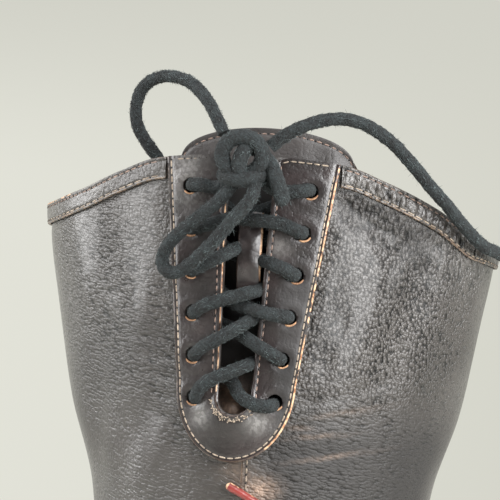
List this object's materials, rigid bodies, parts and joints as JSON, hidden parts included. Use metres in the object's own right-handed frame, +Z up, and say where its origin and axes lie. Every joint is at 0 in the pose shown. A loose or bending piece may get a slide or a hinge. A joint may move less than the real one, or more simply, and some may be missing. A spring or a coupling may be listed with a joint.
{
  "type": "knee-high riding boot",
  "caption": "Tall riding boot for the right foot in grained leather, with a laced front facing, tongue and collar band at the top, a low stacked heel and a welted sole.",
  "frame": {"origin": "on the floor, under the middle of the boot's box without its free lace", "axes": "+Z up the shaft, the toe along -Y, the medial (inner) side of the right foot along +X"},
  "size_m": [0.1517, 0.2815, 0.453],
  "materials": {
    "shaft_leather": "pebbled grain, satin",
    "facing_leather": "smoother, satin",
    "band_leather": "pebbled grain, satin",
    "tongue_leather": "satin",
    "lace_suede": "napped",
    "red_leather": "satin",
    "sole_leather": "waxed edge",
    "welt_leather": "waxed",
    "heel_leather": "stacked, waxed",
    "top_piece_rubber": "matte",
    "insole_leather": "plain"
  },
  "bodies": {
    "root": {"upper": "shaft_leather", "lace_facing": "facing_leather", "collar_band": "band_leather", "tongue": "tongue_leather", "lace_keeper": "tongue_leather", "outsole": "sole_leather", "welt": "welt_leather", "heel_stack": "heel_leather", "heel_top_piece": "top_piece_rubber", "insole": "insole_leather", "red_thong": "red_leather", "lace_cross_1": "lace_suede", "lace_cross_2": "lace_suede", "lace_cross_3": "lace_suede", "lace_cross_4": "lace_suede", "lace_cross_5": "lace_suede", "lace_top_bar": "lace_suede", "lace_knot": "lace_suede", "lace_loop": "lace_suede", "lace_tail_left": "lace_suede", "lace_tail_right": "lace_suede", "lace_stub": "lace_suede"}
  },
  "joints": []
}
